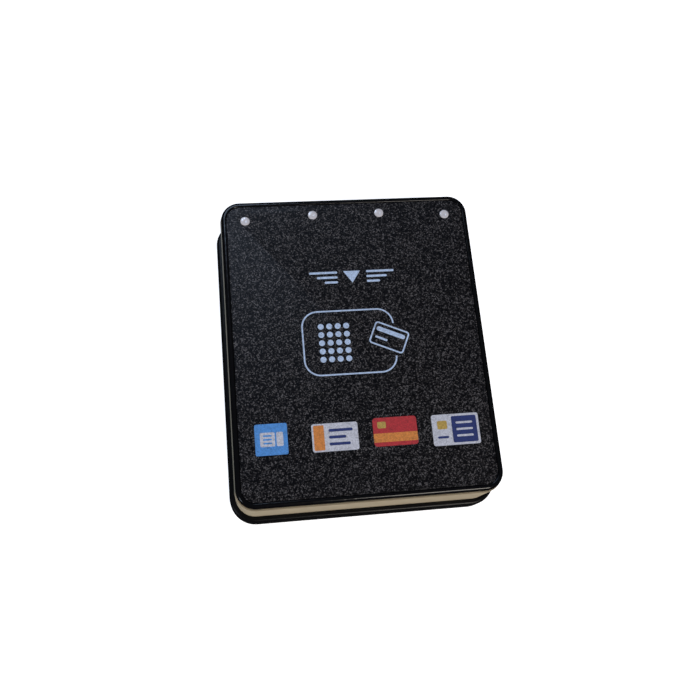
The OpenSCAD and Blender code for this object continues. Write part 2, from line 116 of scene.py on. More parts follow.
class Finish:
    """One material: a principled shader and the nodes that feed it."""

    def __init__(self, name, **constants):
        self.material = bpy.data.materials.new(name)
        self.material.use_nodes = True
        self.nodes = self.material.node_tree.nodes
        self.links = self.material.node_tree.links
        self.nodes.clear()
        self.shader = self.nodes.new("ShaderNodeBsdfPrincipled")
        output = self.nodes.new("ShaderNodeOutputMaterial")
        self.links.new(self.shader.outputs["BSDF"], output.inputs["Surface"])
        self.place = self.node("ShaderNodeTexCoord", out="Object")
        for key, value in constants.items():
            self.shader.inputs[key.replace("_", " ")].default_value = value

    def node(self, kind, settings=None, values=None, out=0):
        made = self.nodes.new(kind)
        for key, value in (settings or {}).items():
            if key == "stops":
                self.set_stops(made.color_ramp, value)
            else:
                setattr(made, key, value)
        for key, value in (values or {}).items():
            self.feed(made.inputs[key], value)
        return Value(self, made.outputs[out])

    def set_stops(self, ramp, stops):
        while len(ramp.elements) < len(stops):
            ramp.elements.new(0.5)
        for element, (place, colour) in zip(ramp.elements, stops):
            element.position = place
            element.color = (*colour, 1)

    def feed(self, socket, value):
        if isinstance(value, Value):
            self.links.new(value.socket, socket)
        else:
            socket.default_value = value

    def set(self, name, value):
        self.feed(self.shader.inputs[name], value)

    def stretched(self, scale):
        return self.node("ShaderNodeMapping", {}, {"Vector": self.place, "Scale": scale})

    def noise(self, size, detail=2.0, rough=0.5, place=None):
        values = {"Vector": place or self.place, "Scale": 1 / size, "Detail": detail, "Roughness": rough}
        return self.node("ShaderNodeTexNoise", {}, values)

    def cells(self, size, out="Distance", feature="F1", place=None):
        values = {"Vector": place or self.place, "Scale": 1 / size}
        return self.node("ShaderNodeTexVoronoi", {"feature": feature}, values, out)

    def band(self, value, low, high, to_low=0.0, to_high=1.0):
        values = {"Value": value, "From Min": low, "From Max": high, "To Min": to_low, "To Max": to_high}
        return self.node("ShaderNodeMapRange", {}, values)

    def mix(self, factor, first, second):
        return self.node("ShaderNodeMix", {"data_type": "RGBA"}, {0: factor, 6: first, 7: second}, 2)

    def bump(self, height, strength, depth):
        values = {"Height": height, "Strength": strength, "Distance": depth}
        self.set("Normal", self.node("ShaderNodeBump", {}, values))


def rgb(colour, gain=1.0):
    return (*(min(1.0, c * gain) for c in colour[:3]), 1)


# ---------------------------------------------------------------- finishes

def moulded(name, colour, rough, grain=0.12 * MM, depth=0.006 * MM, shade=0.12, shine=0.5):
    """Moulded plastic: a spark-eroded skin, slow changes of shade and a few rubbed spots."""
    f = Finish(name, Specular_IOR_Level=shine)
    slow = f.noise(9 * MM, 3)
    fine = f.noise(grain, 2, 0.6)
    rubbed = f.band(f.noise(2.2 * MM, 4, 0.65), 0.62, 0.74)
    f.set("Base Color", f.mix(slow, rgb(colour, 1 - shade), rgb(colour, 1 + shade)))
    f.set("Roughness", (slow * 0.1 + (rough - 0.05) - rubbed * 0.08 + fine * 0.04).limited())
    f.bump(fine, 0.5, depth)
    return f.material


def bezel_finish(tint):
    """Polished black plastic: hairline scratches, a little dust, a very slight flow waviness."""
    f = Finish("bezel_gloss", IOR=1.5, Specular_IOR_Level=0.22)
    hairs = f.noise(0.35 * MM, 3, 0.7, f.stretched((1, 0.06, 1)))
    across = f.noise(0.4 * MM, 3, 0.7, f.stretched((0.05, 1, 1)))
    dust = f.band(f.cells(0.7 * MM), 0.0, 0.09, 1.0, 0.0) * f.band(f.noise(3 * MM, 2), 0.5, 0.7)
    f.set("Base Color", f.mix(dust * 0.35, rgb(tint), (0.16, 0.155, 0.15, 1)))
    f.set("Roughness", (0.09 + hairs * 0.06 + across * 0.05 + dust * 0.3).limited())
    f.bump(f.noise(2.4 * MM, 2) + hairs * 0.03, 0.8, 0.06 * MM)
    return f.material


def overlay_finish(tint, glint):
    """Textured film: a pebbled skin with painted glints: single grains lightened in the base colour, as if
    each caught the light.
    """
    f = Finish("overlay_grain", IOR=1.5, Specular_IOR_Level=0.09)
    pebbles = f.cells(0.3 * MM)
    grain = f.noise(0.3 * MM, 2, 0.7)
    picked = f.node("ShaderNodeSeparateColor", {}, {"Color": f.cells(0.27 * MM, "Color")}, 0)
    patches = f.noise(1.3 * MM, 3, 0.6)
    # painted glints: random single grains, brighter in patches, are mixed towards the glint colour in the
    # base colour
    painted_glints = (picked ** 5) * (patches * 1.2 + 0.6)
    base = f.mix(f.band(grain, 0.36, 0.66), rgb(tint, 0.2), rgb(tint, 1.2))
    f.set("Base Color", f.mix(painted_glints.limited(), base, rgb(glint)))
    f.set("Roughness", (0.32 - painted_glints * 0.1 + grain * 0.12).limited())
    f.bump(grain * 0.8 + (1 - pebbles) * 0.6, 0.7, 0.04 * MM)
    return f.material


def ink_finish(name, colour):
    """Screen-printed ink that follows the film's grain, thin at its peaks."""
    f = Finish(name, IOR=1.5)
    grain = f.noise(0.24 * MM, 2, 0.7)
    picked = f.node("ShaderNodeSeparateColor", {}, {"Color": f.cells(0.27 * MM, "Color")}, 0)
    worn = f.band(f.cells(0.34 * MM), 0.42, 0.66) * f.band(f.noise(0.9 * MM, 2), 0.48, 0.7)
    thin = (worn * 0.35 + picked * 0.4 + grain * 0.1).limited()
    f.set("Base Color", f.mix(thin, rgb(colour, 1.15), rgb(colour, 0.3)))
    f.set("Roughness", 0.42 + grain * 0.2)
    f.bump(grain, 0.5, 0.02 * MM)
    return f.material


def clear_finish():
    """Clear moulded plastic, a little milky inside with fine turning marks on top."""
    f = Finish("clear_lens", Transmission_Weight=0.3, IOR=1.49, Coat_Weight=0.5, Coat_Roughness=0.03)
    cloud = f.noise(0.5 * MM, 2)
    f.set("Base Color", f.mix(cloud, (0.86, 0.80, 0.84, 1), (1.0, 0.97, 0.96, 1)))
    f.set("Roughness", 0.1 + cloud * 0.16)
    f.bump(cloud, 0.25, 0.02 * MM)
    return f.material


def metal(name, colour, rough, line=(1, 0.05, 1), plated=0.3):
    """Worked metal: drawn lines, cloudy plating and darker handled patches."""
    f = Finish(name, Metallic=1.0)
    lines = f.noise(0.12 * MM, 3, 0.6, f.stretched(line))
    cloud = f.noise(1.6 * MM, 3)
    f.set("Base Color", f.mix(cloud, rgb(colour, 1 - plated), rgb(colour, 1 + plated * 0.3)))
    f.set("Roughness", (rough - 0.08 + cloud * 0.16 + lines * 0.1).limited())
    f.bump(lines, 0.3, 0.01 * MM)
    return f.material


def board_finish():
    """Green solder resist: the weave of the glass shows through, with paler drill dust in places."""
    f = Finish("board_resist", Coat_Weight=0.5, Coat_Roughness=0.12, IOR=1.5)
    weave_x = f.node("ShaderNodeTexWave", {"bands_direction": "X"}, {"Vector": f.place, "Scale": 900})
    weave_y = f.node("ShaderNodeTexWave", {"bands_direction": "Y"}, {"Vector": f.place, "Scale": 900})
    weave = weave_x * 0.5 + weave_y * 0.5
    cloud = f.noise(4 * MM, 3)
    shade = (weave * 0.3 + cloud * 0.5).limited()
    f.set("Base Color", f.mix(shade, (0.006, 0.09, 0.035, 1), (0.02, 0.19, 0.08, 1)))
    f.set("Roughness", 0.28 + cloud * 0.14)
    f.bump(weave, 0.2, 0.01 * MM)
    return f.material


def stone_like(name, dark, light, rough):
    """Sintered or fired block: two close shades in fine grains."""
    f = Finish(name)
    grain = f.noise(0.15 * MM, 3, 0.7)
    cloud = f.noise(0.8 * MM, 2)
    f.set("Base Color", f.mix((grain * 0.7 + cloud * 0.3).limited(), rgb(dark), rgb(light)))
    f.set("Roughness", (rough - 0.05 + grain * 0.12).limited())
    f.bump(grain, 0.4, 0.008 * MM)
    return f.material


def film_finish(name, colour, rough, clear=0.0):
    """Thin film: faint rolled lines and slow cloudiness."""
    f = Finish(name, Transmission_Weight=clear, IOR=1.48)
    rolled = f.noise(0.5 * MM, 2, 0.5, f.stretched((1, 0.03, 1)))
    cloud = f.noise(3 * MM, 2)
    f.set("Base Color", f.mix((rolled * 0.5 + cloud * 0.5).limited(), rgb(colour, 0.86), rgb(colour, 1.08)))
    f.set("Roughness", (rough - 0.06 + rolled * 0.14).limited())
    f.bump(rolled, 0.2, 0.008 * MM)
    return f.material


def floor_finish(colour, glow):
    """Pale seamless paper, hardly mottled, with a little light of its own like a lit table."""
    f = Finish("floor_paper", Emission_Strength=glow)
    cloud = f.noise(40 * MM, 2)
    f.set("Base Color", f.mix(cloud, rgb(colour, 0.99), rgb(colour)))
    f.set("Emission Color", f.mix(cloud, rgb(colour, 0.99), rgb(colour)))
    f.set("Roughness", 0.85 + cloud * 0.05)
    return f.material


# ---------------------------------------------------------------- meshes

def outline(width, length, radius, steps=ARC_STEPS):
    """A rounded rectangle about the origin, anticlockwise."""
    radius = max(radius, 0.02 * MM)
    points = []
    for turn, (sx, sy) in enumerate(((1, 1), (-1, 1), (-1, -1), (1, -1))):
        cx, cy = sx * (width / 2 - radius), sy * (length / 2 - radius)
        for i in range(steps + 1):
            a = math.radians(90 * (turn + i / steps))
            points.append((cx + radius * math.cos(a), cy + radius * math.sin(a)))
    return points


def circle(radius, steps=48):
    turns = [math.tau * i / steps for i in range(steps)]
    return [(radius * math.cos(a), radius * math.sin(a)) for a in turns]


def arc(cx, cz, radius, start, end, steps=8):
    """Points of a section's rounding, from one angle to another in degrees."""
    turns = [math.radians(start + (end - start) * i / steps) for i in range(steps + 1)]
    return [(cx + radius * math.cos(a), cz + radius * math.sin(a)) for a in turns]


def new_piece(name, bm, material, sharp=SHARP):
    bmesh.ops.remove_doubles(bm, verts=bm.verts, dist=MERGE)
    bmesh.ops.recalc_face_normals(bm, faces=bm.faces)
    mesh = bpy.data.meshes.new(name)
    bm.to_mesh(mesh)
    bm.free()
    return dressed(bpy.data.objects.new(name, mesh), material, sharp)


def dressed(piece, material, sharp=SHARP):
    if piece.name not in bpy.context.collection.objects:
        bpy.context.collection.objects.link(piece)
    piece.data.materials.clear()
    piece.data.materials.append(material)
    piece.data.polygons.foreach_set("use_smooth", [True] * len(piece.data.polygons))
    piece.data.set_sharp_from_angle(angle=math.radians(sharp))
    return piece


def loft(bm, loops, closed=False):
    """Skins loops that have as many points each.

    An open loft is capped at both ends, and a closed one joins its last loop to its first.
    """
    rows = [[bm.verts.new(p) for p in loop] for loop in loops]
    pairs = list(zip(rows, rows[1:] + rows[:1])) if closed else list(zip(rows, rows[1:]))
    for low, high in pairs:
        for i in range(len(low)):
            j = (i + 1) % len(low)
            bm.faces.new((low[i], low[j], high[j], high[i]))
    if not closed:
        bm.faces.new(rows[0][::-1])
        bm.faces.new(rows[-1])


def section_loops(width, length, radius, section):
    """One loop for each point (inset, height) of a section that runs round a rounded rectangle."""
    return [[(x, y, z) for x, y in outline(width - 2 * u, length - 2 * u, radius - u)] for u, z in section]


def lathe(bm, centre, profile, steps=48):
    """A turned solid from (radius, height) points, capped at both ends."""
    loft(bm, [[(centre[0] + x, centre[1] + y, z) for x, y in circle(r, steps)] for r, z in profile])


def prism(bm, points, low, high):
    loft(bm, [[(x, y, z) for x, y in points] for z in (low, high)])


def ring_prism(bm, outer, inner, low, high):
    edges = ((outer, low), (outer, high), (inner, high), (inner, low))
    loft(bm, [[(x, y, z) for x, y in points] for points, z in edges], closed=True)


def solid(draw, *args):
    """A mesh object for a boolean, drawn by a function that takes a bmesh."""
    bm = bmesh.new()
    draw(bm, *args)
    bmesh.ops.recalc_face_normals(bm, faces=bm.faces)
    mesh = bpy.data.meshes.new("tool")
    bm.to_mesh(mesh)
    bm.free()
    tool = bpy.data.objects.new("tool", mesh)
    bpy.context.collection.objects.link(tool)
    return tool


def settled(piece):
    """Turns a piece with modifiers into a plain mesh."""
    graph = bpy.context.evaluated_depsgraph_get()
    mesh = bpy.data.meshes.new_from_object(piece.evaluated_get(graph))
    piece.modifiers.clear()
    piece.data = mesh
    return piece


def carve(piece, operation, tool):
    step = piece.modifiers.new(operation.lower(), "BOOLEAN")
    step.operation = operation
    step.solver = "EXACT"
    step.object = tool
    settled(piece)
    bpy.data.objects.remove(tool)


def finish_node(node, material):
    """Gives a CAD node its material."""
    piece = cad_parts[node]
    piece.data.materials.clear()
    piece.data.materials.append(material)
    return piece


def stand_for(piece, slot, *nodes, body=ROOT):
    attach(piece, body)
    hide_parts(*nodes)


def centre_of(node):
    low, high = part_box(node)
    return (low + high) / 2


# ---------------------------------------------------------------- geometry nodes

class Grower:
    """A geometry node tree with named inputs, which ends in Realize Instances and Set Material."""

    def __init__(self, name, inputs):
        self.tree = bpy.data.node_groups.new(name, "GeometryNodeTree")
        self.names = {}
        for label, kind in inputs.items():
            made = self.tree.interface.new_socket(label, in_out="INPUT", socket_type=kind)
            self.names[label] = made.identifier
        self.tree.interface.new_socket("Geometry", in_out="OUTPUT", socket_type="NodeSocketGeometry")
        self.given = self.tree.nodes.new("NodeGroupInput")

    def input(self, label):
        return self.given.outputs[label]

    def node(self, kind, settings=None, values=None, out=0):
        made = self.tree.nodes.new(kind)
        for key, value in (settings or {}).items():
            setattr(made, key, value)
        for key, value in (values or {}).items():
            if isinstance(value, bpy.types.NodeSocket):
                self.tree.links.new(value, made.inputs[key])
            else:
                made.inputs[key].default_value = value
        return made.outputs[out]

    def grow(self, name, shape, material, sharp=SHARP, **values):
        """Runs the tree once and returns its result as a plain mesh."""
        whole = self.node("GeometryNodeRealizeInstances", {}, {"Geometry": shape})
        painted = self.node("GeometryNodeSetMaterial", {}, {"Geometry": whole, "Material": material})
        end = self.tree.nodes.new("NodeGroupOutput")
        self.tree.links.new(painted, end.inputs["Geometry"])
        piece = bpy.data.objects.new(name, bpy.data.meshes.new(name))
        bpy.context.collection.objects.link(piece)
        step = piece.modifiers.new("grow", "NODES")
        step.node_group = self.tree
        for label, value in values.items():
            step[self.names[label]] = value
        settled(piece)
        return dressed(piece, material, sharp)


def four_times(name, pattern, centre, span, material):
    """Copies a pattern mesh to the four corners of a rectangle."""
    g = Grower(name, {
        "Pattern": "NodeSocketObject", "Across": "NodeSocketFloat",
        "Along": "NodeSocketFloat", "Centre": "NodeSocketVector"})
    corners = g.node("GeometryNodeMeshGrid", {}, {
        "Size X": g.input("Across"), "Size Y": g.input("Along"), "Vertices X": 2, "Vertices Y": 2})
    placed = g.node("GeometryNodeTransform", {}, {"Geometry": corners, "Translation": g.input("Centre")})
    shape = g.node("GeometryNodeObjectInfo", {}, {"Object": g.input("Pattern")}, "Geometry")
    copies = g.node("GeometryNodeInstanceOnPoints", {}, {"Points": placed, "Instance": shape})
    made = g.grow(name, copies, material,
                  Pattern=pattern, Across=span[0], Along=span[1], Centre=centre)
    bpy.data.objects.remove(pattern)
    return made


# ---------------------------------------------------------------- sizes and colours

def size_of(name, description, millimetres, low=0.01, high=200):
    return bpy.props.FloatProperty(
        name=name, description=description, default=millimetres * MM, min=low * MM, max=high * MM,
        subtype="DISTANCE", unit="LENGTH", precision=4)


def angle_of(name, description, degrees):
    return bpy.props.FloatProperty(
        name=name, description=description, default=math.radians(degrees), subtype="ANGLE", unit="ROTATION")


def colour_of(name, description, *shade):
    return bpy.props.FloatVectorProperty(
        name=name, description=description, default=shade, size=3, min=0, max=1, subtype="COLOR")


class ReaderFront(bpy.types.PropertyGroup):
    rim_width: size_of("Rim width", "Width of the bezel's raised rim", 1.4)
    rim_outer: size_of("Rim outer radius", "Radius of the rim's outer top edge", 0.9)
    rim_inner: size_of("Rim inner radius", "Radius of the rim's inner top edge", 0.35)
    corner: size_of("Bezel corner", "Corner radius of the bezel seen from the front", 5)
    skirt: size_of("Skirt depth", "Height of the bezel's side from its lower edge to the rim", 2.7)
    lip_inset: size_of("Lip inset", "Distance of the bezel's inner lip from its outside", 1.8)
    lip_width: size_of("Lip width", "Thickness of the bezel's inner lip", 1.1)
    lip_depth: size_of("Lip depth", "How far the lip reaches below the skirt", 1.4)
    plate: size_of("Plate", "Thickness of the bezel's plate", 1.6)
    overlay_edge: size_of("Overlay edge", "Radius of the overlay's cut edge", 0.08)
    film_slack: size_of("Overlay slack", "Clearance of the overlay round a light pipe", 0.1)
    lens_dimple: size_of("Lens dimple", "Radius of the sprue mark in a lens", 0.45)
    black: colour_of("Bezel black", "Colour of the polished bezel", 0.0025, 0.0025, 0.003)
    film: colour_of("Overlay black", "Colour of the textured overlay", 0.0018, 0.0018, 0.0030)
    # the grain glint is a painted glint: the colour that single grains are lightened to in the overlay's base
    # colour
    glint: colour_of("Grain glint", "Colour of the overlay's bright grains", 0.110, 0.103, 0.104)


class ReaderPrints(bpy.types.PropertyGroup):
    ink: size_of("Ink thickness", "Thickness of one pass of ink", 0.012, 0.001, 0.1)
    line: size_of("Line width", "Width of the fine white lines", 0.42)
    ring_width: size_of("Ring width", "Width of the ring round the card symbol", 24.6)
    ring_height: size_of("Ring height", "Height of the ring round the card symbol", 17.8)
    ring_corner: size_of("Ring corner", "Corner radius of the ring round the card symbol", 4.4)
    ring_x: size_of("Ring place", "Sideways place of the ring's middle", -2.4, -100)
    guide_y: size_of("Guide place", "Height of the guide marks above the face's middle", 18.2, -100)
    cards_y: size_of("Cards place", "Height of the row of card pictures from the face's middle", -24.7, -100)
    white: colour_of("Print white", "Colour of the light prints", 0.52, 0.64, 0.84)
    paper: colour_of("Card white", "Colour of the pale card pictures", 0.62, 0.62, 0.68)
    blue: colour_of("Card blue", "Colour of the blue card picture", 0.085, 0.30, 0.72)
    orange: colour_of("Card orange", "Colour of the orange print", 0.72, 0.25, 0.05)
    red: colour_of("Card red", "Colour of the red print", 0.50, 0.03, 0.035)
    navy: colour_of("Card navy", "Colour of the dark blue print", 0.02, 0.035, 0.16)
    gold: colour_of("Card gold", "Colour of the gold print", 0.55, 0.36, 0.08)


class ReaderShell(bpy.types.PropertyGroup):
    pale: colour_of("Pale frame", "Colour of the frame behind the bezel", 0.38, 0.315, 0.21)
    black: colour_of("Housing black", "Colour of the rear housing", 0.004, 0.004, 0.0045)
    rubber: colour_of("Seal", "Colour of the seals", 0.03, 0.03, 0.032)
    label: colour_of("Label", "Colour of the blank rear label", 0.50, 0.51, 0.53)
    knurls: bpy.props.IntProperty(
        name="Knurls", description="Teeth round a mounting insert", default=24, min=8)
    brass: colour_of("Brass", "Colour of the inserts and pins", 0.72, 0.50, 0.17)
    steel: colour_of("Steel", "Colour of the screws", 0.42, 0.43, 0.45)


class ReaderInside(bpy.types.PropertyGroup):
    copper: colour_of("Copper", "Colour of the antenna's copper", 0.62, 0.26, 0.11)
    nylon: colour_of("Nylon", "Colour of the sockets and the connector", 0.62, 0.58, 0.47)
    lock: colour_of("Lock", "Colour of the sockets' locks", 0.07, 0.035, 0.02)
    plunger: colour_of("Plunger", "Colour of the tamper plungers", 0.42, 0.06, 0.03)


class ReaderView(bpy.types.PropertyGroup):
    azimuth: angle_of("Azimuth", "Which side the camera stands on", -24.93)
    elevation: angle_of("Elevation", "How high the camera stands", 72.03)
    roll: angle_of("Roll", "Turn of the camera about its line of sight", 20.56)
    distance: size_of("Distance", "From the camera to the point it aims at", 213.72, 1, 2000)
    aim_x: size_of("Aim X", "Sideways place of the aim on the face", -2.45, -100)
    aim_y: size_of("Aim Y", "Up and down place of the aim on the face", -2.27, -100)
    lens: bpy.props.FloatProperty(
        name="Lens", description="Focal length on a 36 mm sensor", default=42.06, unit="CAMERA")
    floor: colour_of("Floor", "Colour of the paper floor", 0.86, 0.86, 0.86)
    glow: bpy.props.FloatProperty(
        name="Glow", description="Light that the paper floor gives off", default=0.95, min=0)


class ReaderFixings(bpy.types.PropertyGroup):
    case_across: size_of("Case screws across", "Sideways spacing of the case screws", 55.2)
    case_along: size_of("Case screws along", "Up and down spacing of the case screws", 56)
    post: size_of("Post", "Diameter of the post that a case screw bites into", 5.4)
    pilot: size_of("Pilot", "Diameter of a post's pilot hole", 2.1)
    thin_post: size_of("Thin post", "Diameter of the post over a tamper plunger", 2.4)
    slack: size_of("Slack", "Clearance round a light pipe", 0.05)
    pipe_collar: size_of("Pipe collar", "How far a light pipe's collar stands out", 0.35)
    collar_height: size_of("Collar height", "Thickness of a light pipe's collar", 0.5)
    collar_slack: size_of("Collar slack", "Clearance of the bezel's lip round a collar", 0.1)
    board_across: size_of("Board screws across", "Sideways spacing of the board screws", 24)
    board_along: size_of("Board screws along", "Up and down spacing of the board screws", 69)
    insert_across: size_of("Inserts across", "Sideways spacing of the mounting inserts", 42)
    insert_along: size_of("Inserts along", "Up and down spacing of the mounting inserts", 60)
    insert_bore: size_of("Insert bore", "Thread bore of a mounting insert", 2.5)


SETTINGS = (ReaderFront, ReaderPrints, ReaderShell, ReaderInside, ReaderFixings, ReaderView)


def setting_name(group):
    return "reader_" + group.__name__.removeprefix("Reader").lower()


def settings(name):
    return getattr(bpy.context.scene, "reader_" + name)


# ---------------------------------------------------------------- operators

class ReaderOperator:
    """What every operator here shares."""
    bl_options = {"REGISTER", "UNDO"}

    def execute(self, context):
        self.make()
        return {"FINISHED"}


def lamp_places():
    return [centre_of(f"light_pipe_{i}") for i in range(1, 5)]


def pipe_radius():
    low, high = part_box("light_pipe_1")
    return (high.x - low.x) / 2 - settings("fixings").pipe_collar


class READER_OT_front(ReaderOperator, bpy.types.Operator):
    """Makes the polished bezel with its rounded rim, and the textured overlay inside it"""
    bl_idname = "reader.make_front"
    bl_label = "Bezel and overlay"

    def make(self):
        self.make_bezel(settings("front"), settings("fixings"))
        self.make_overlay(settings("front"))
        finish_node("overlay_adhesive", film_finish("glue_film", (0.62, 0.6, 0.52), 0.35, 0.3))

    def bezel_section(self, s, top, plate_top):
        skirt, lip = top - s.skirt, top - s.skirt - s.lip_depth
        break_edge = 0.12 * MM
        inner = s.lip_inset + s.lip_width
        return [
            (s.rim_width, plate_top),
            *arc(s.rim_width - s.rim_inner, top - s.rim_inner, s.rim_inner, 0, 90, 6),
            *arc(s.rim_outer, top - s.rim_outer, s.rim_outer, 90, 180, 12),
            *arc(break_edge, skirt + break_edge, break_edge, 180, 270, 4),
            (s.lip_inset, skirt),
            (s.lip_inset, lip),
            (inner, lip),
            (inner, plate_top - s.plate),
        ]

    def make_bezel(self, s, fix):
        """The collars' room goes first, before the posts are joined, so no two cuts cross each other."""
        top, plate_top = BEZEL_HIGH.z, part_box("overlay_adhesive")[0].z
        under = plate_top - s.plate
        size = BEZEL_HIGH - BEZEL_LOW
        bm = bmesh.new()
        loft(bm, section_loops(size.x, size.y, s.corner, self.bezel_section(s, top, plate_top)))
        piece = new_piece("bezel", bm, bezel_finish(s.black))
        sink, pilot_stop = 0.4 * MM, 1 * MM
        case_screws = [(x * fix.case_across / 2, y * fix.case_along / 2) for x in (-1, 1) for y in (-1, 1)]

        def post(tool, at, radius, foot, break_edge, steps):
            """A post that hangs from the plate, with the edge of its foot broken."""
            side = [(radius - break_edge, foot), (radius, foot + 0.2 * MM), (radius, under + sink)]
            lathe(tool, at, side, steps)

        def posts(tool):
            for at in case_screws:
                post(tool, at, fix.post / 2, BEZEL_LOW.z, 0.2 * MM, 48)
            for side in ("left", "right"):
                node = "tamper_plunger_" + side
                post(tool, (centre_of(node).x, 0), fix.thin_post / 2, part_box(node)[1].z, 0.15 * MM, 32)

        def holes(tool):
            for at in lamp_places():
                lathe(tool, at, [(pipe_radius() + fix.slack, under - sink), (pipe_radius() + fix.slack, top)])
            for at in case_screws:
                lathe(tool, at, [(fix.pilot / 2, BEZEL_LOW.z - sink), (fix.pilot / 2, under - pilot_stop)])

        def collars(tool):
            clear = pipe_radius() + fix.pipe_collar + fix.collar_slack
            for at in lamp_places():
                lathe(tool, at, [(clear, top - s.skirt - s.lip_depth - sink), (clear, under)])

        carve(piece, "DIFFERENCE", solid(collars))
        carve(piece, "UNION", solid(posts))
        carve(piece, "DIFFERENCE", solid(holes))
        stand_for(dressed(piece, piece.data.materials[0]), "gloss_black", "front_bezel")

    def make_overlay(self, s):
        size = FACE_HIGH - FACE_LOW
        corner = s.corner - (BEZEL_HIGH.x - FACE_HIGH.x)
        section = [(0, FACE_LOW.z), *arc(s.overlay_edge, FACE_Z - s.overlay_edge, s.overlay_edge, 180, 90, 4)]
        bm = bmesh.new()
        loft(bm, section_loops(size.x, size.y, corner, section))
        piece = new_piece("overlay", bm, overlay_finish(s.film, s.glint))

        def holes(tool):
            radius = pipe_radius() + s.film_slack
            for at in lamp_places():
                lathe(tool, at, [(radius, FACE_LOW.z - MM), (radius, FACE_Z + MM)])

        carve(piece, "DIFFERENCE", solid(holes))
        stand_for(dressed(piece, piece.data.materials[0]), "overlay_film", "front_overlay")


class InkPlate:
    """Collects the shapes of one ink. A pass is how many layers of ink lie under the shape."""

    def __init__(self, name, colour):
        self.name = name
        self.colour = colour
        self.bm = bmesh.new()
        self.ink = settings("prints").ink

    def heights(self, layer):
        return FACE_Z + (layer - 0.4) * self.ink, FACE_Z + (layer + 1) * self.ink

    def moved(self, points, at, turn=0.0):
        c, s = math.cos(math.radians(turn)), math.sin(math.radians(turn))
        return [(at[0] + c * x - s * y, at[1] + s * x + c * y) for x, y in points]

    def shape(self, points, at=(0, 0), turn=0.0, layer=0):
        prism(self.bm, self.moved(points, at, turn), *self.heights(layer))

    def ring(self, outer, inner, at=(0, 0), turn=0.0, layer=0):
        ring_prism(self.bm, self.moved(outer, at, turn), self.moved(inner, at, turn), *self.heights(layer))

    def tile(self, width, height, corner, at, turn=0.0, layer=0):
        self.shape(outline(width, height, corner, 6), at, turn, layer)

    def frame(self, width, height, corner, line, at, turn=0.0, layer=0):
        inside = outline(width - 2 * line, height - 2 * line, corner - line, 10)
        self.ring(outline(width, height, corner, 10), inside, at, turn, layer)

    def open_frame(self, width, height, corner, line, at, gap):
        """A frame that stops where it would run under a turned rectangle (its place, turn and half sizes)."""
        outer = self.moved(outline(width, height, corner, 24), at)
        inner = self.moved(outline(width - 2 * line, height - 2 * line, corner - line, 24), at)
        outer, inner = self.split(outer), self.split(inner)
        low, high = self.heights(0)
        place, turn, half_x, half_y = gap
        back = Matrix.Rotation(math.radians(-turn), 2)

        def hidden(i):
            off = back @ ((Vector(outer[i]) + Vector(inner[i])) / 2 - Vector(place))
            return abs(off.x) < half_x and abs(off.y) < half_y

        count = len(outer)
        run = []
        start = next(i for i in range(count) if hidden(i))
        for i in range(start, start + count + 1):
            if not hidden(i % count):
                run.append(i % count)
            elif run:
                loft(self.bm, [[(*outer[k], low), (*outer[k], high), (*inner[k], high), (*inner[k], low)]
                               for k in run])
                run = []

    def split(self, points, parts=12):
        """Cuts the long straight sides of an outline into short ones."""
        fine = []
        for first, second in zip(points, points[1:] + points[:1]):
            steps = parts if (Vector(second) - Vector(first)).length > 1.5 * MM else 1
            fine += [tuple(Vector(first).lerp(Vector(second), i / steps)) for i in range(steps)]
        return fine

    def bar(self, length, thick, at, turn=0.0, layer=0):
        self.tile(length, thick, thick / 2 * 0.999, at, turn, layer)

    def printed(self):
        piece = new_piece(self.name, self.bm, ink_finish(self.name, self.colour))
        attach(piece, ROOT)


